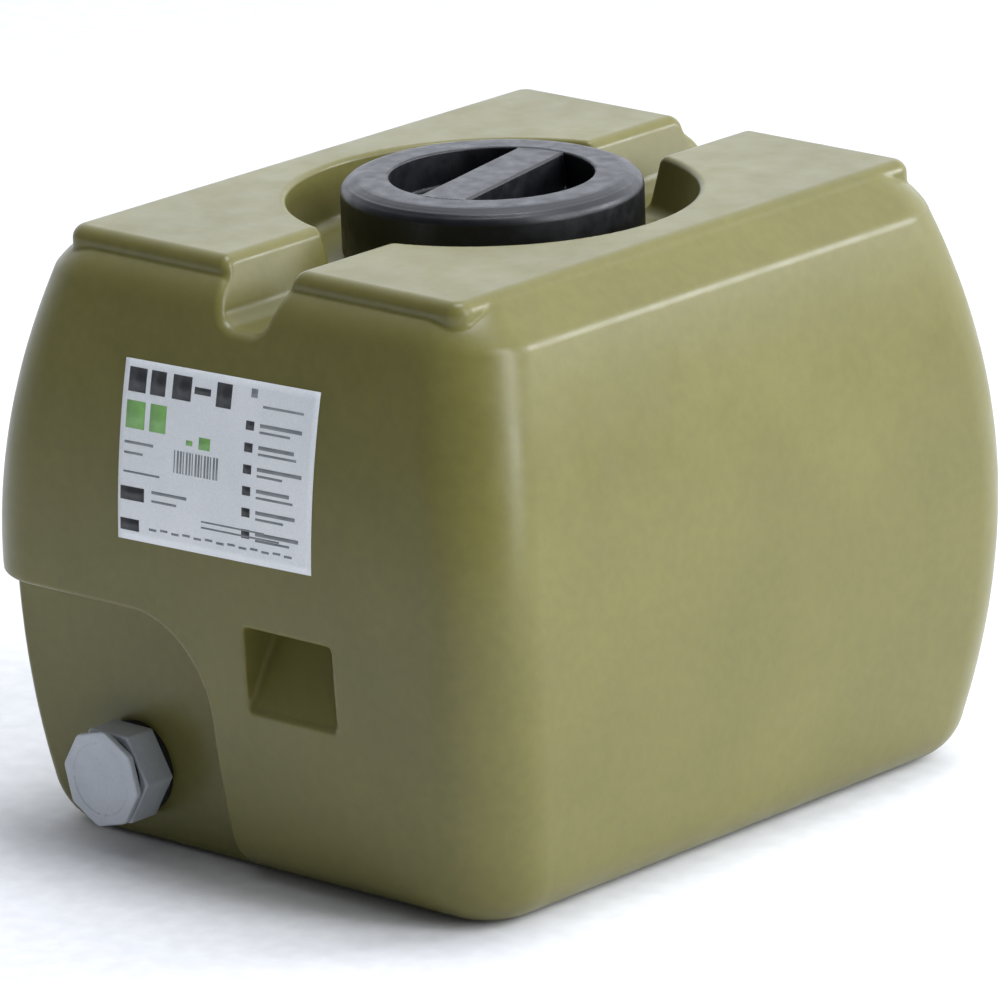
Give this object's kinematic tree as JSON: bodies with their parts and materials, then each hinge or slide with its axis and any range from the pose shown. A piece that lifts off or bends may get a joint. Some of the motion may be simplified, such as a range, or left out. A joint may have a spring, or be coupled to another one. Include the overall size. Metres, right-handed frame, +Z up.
{
  "type": "fresh water tank",
  "caption": "Barrel-sided moulded water tank with a screw lid sunk in a top channel, a front drain plug in a recess, and hand grips.",
  "frame": {"origin": "centre of the flat base, on the surface the tank stands on", "axes": "+Z up, +Y along the tank's length towards the back, so the drain and the label face -Y"},
  "size_m": [0.415, 0.486, 0.381],
  "materials": {
    "tank_plastic": "satin olive, lightly mottled, soft gloss on the shoulders",
    "lid_plastic": "satin black with fine turning marks",
    "pvc_grey": "satin grey",
    "seal_rubber": "matt",
    "label_film": "semi-gloss printed film"
  },
  "bodies": {
    "root": {"tank_body": "tank_plastic", "front_label": "label_film", "drain_socket": "pvc_grey", "socket_outer_gasket": "seal_rubber", "socket_inner_gasket": "seal_rubber", "drain_backnut": "pvc_grey"},
    "lid_carrier": {"lid_gasket": "seal_rubber"},
    "lid": {"manhole_lid": "lid_plastic"},
    "plug_carrier": {"plug_washer": "seal_rubber"},
    "plug": {"drain_plug": "pvc_grey"}
  },
  "joints": [
    {"name": "lid_rise", "type": "slide", "parent": "root", "child": "lid_carrier", "axis": [0, 0, 1], "range_m": [0, 0.0451]},
    {"name": "lid_turn", "type": "hinge", "parent": "lid_carrier", "child": "lid", "pos_m": [0, 0, 0.37], "axis": [0, 0, 1], "range_deg": [0, 1620]},
    {"name": "plug_slide", "type": "slide", "parent": "root", "child": "plug_carrier", "axis": [0, -1, 0], "range_m": [0, 0.0181]},
    {"name": "plug_turn", "type": "hinge", "parent": "plug_carrier", "child": "plug", "pos_m": [-0.1095, -0.236, 0.0465], "axis": [0, -1, 0], "range_deg": [0, 2160]}
  ],
  "couplings": [
    {"joint": "lid_rise", "follows": "lid_turn", "m_per_rad": 0.0015915},
    {"joint": "plug_slide", "follows": "plug_turn", "m_per_rad": 0.00047746}
  ]
}
